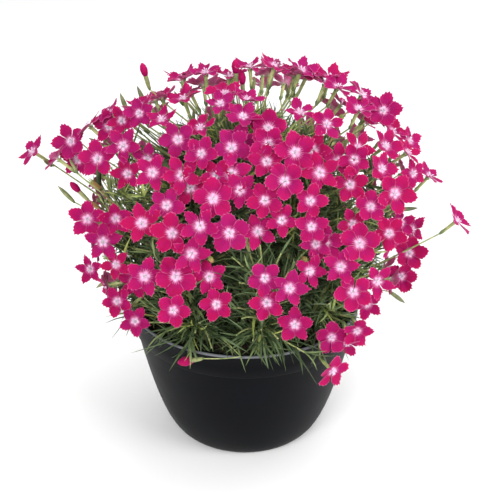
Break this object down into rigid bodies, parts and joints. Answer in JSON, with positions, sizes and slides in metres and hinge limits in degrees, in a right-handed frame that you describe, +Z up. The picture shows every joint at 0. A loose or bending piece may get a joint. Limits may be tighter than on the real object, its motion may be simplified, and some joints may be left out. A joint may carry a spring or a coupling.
{
  "type": "dianthus plant in a pot",
  "caption": "Dianthus in full flower: a mound of toothed magenta blooms with white eyes over narrow green leaves, in a round black plastic pot.",
  "frame": {"origin": "centre of the pot's underside", "axes": "+Z up along the pot's axis, -Y towards the side that the picture shows"},
  "size_m": [0.3449, 0.2525, 0.3048],
  "materials": {
    "pot_plastic": "black moulded plastic with a low satin sheen",
    "potting_mix": null,
    "leaf_green": null,
    "petals": null
  },
  "bodies": {
    "root": {"pot": "pot_plastic", "soil": "potting_mix", "shoots_01": "leaf_green", "shoots_02": "leaf_green", "shoots_03": "leaf_green", "shoots_04": "leaf_green", "shoots_05": "leaf_green", "shoots_06": "leaf_green", "shoots_07": "leaf_green", "shoots_08": "leaf_green", "shoots_09": "leaf_green", "shoots_10": "leaf_green", "shoots_11": "leaf_green", "shoots_12": "leaf_green", "shoots_13": "leaf_green", "shoots_14": "leaf_green", "blooms_01": "petals", "blooms_02": "petals", "blooms_03": "petals", "blooms_04": "petals", "blooms_05": "petals", "blooms_06": "petals", "blooms_07": "petals", "blooms_08": "petals", "blooms_09": "petals", "blooms_10": "petals", "blooms_11": "petals", "blooms_12": "petals", "blooms_13": "petals", "blooms_14": "petals", "blooms_15": "petals", "blooms_16": "petals", "blooms_17": "petals", "blooms_18": "petals", "blooms_19": "petals", "blooms_20": "petals", "blooms_21": "petals", "blooms_22": "petals", "blooms_23": "petals", "blooms_24": "petals", "blooms_25": "petals", "blooms_26": "petals", "blooms_27": "petals", "blooms_28": "petals", "blooms_29": "petals", "blooms_30": "petals", "blooms_31": "petals", "blooms_32": "petals", "blooms_33": "petals", "blooms_34": "petals", "blooms_35": "petals", "blooms_36": "petals", "blooms_37": "petals", "blooms_38": "petals", "blooms_39": "petals", "blooms_40": "petals", "blooms_41": "petals", "blooms_42": "petals", "blooms_43": "petals", "blooms_44": "petals"}
  },
  "joints": []
}
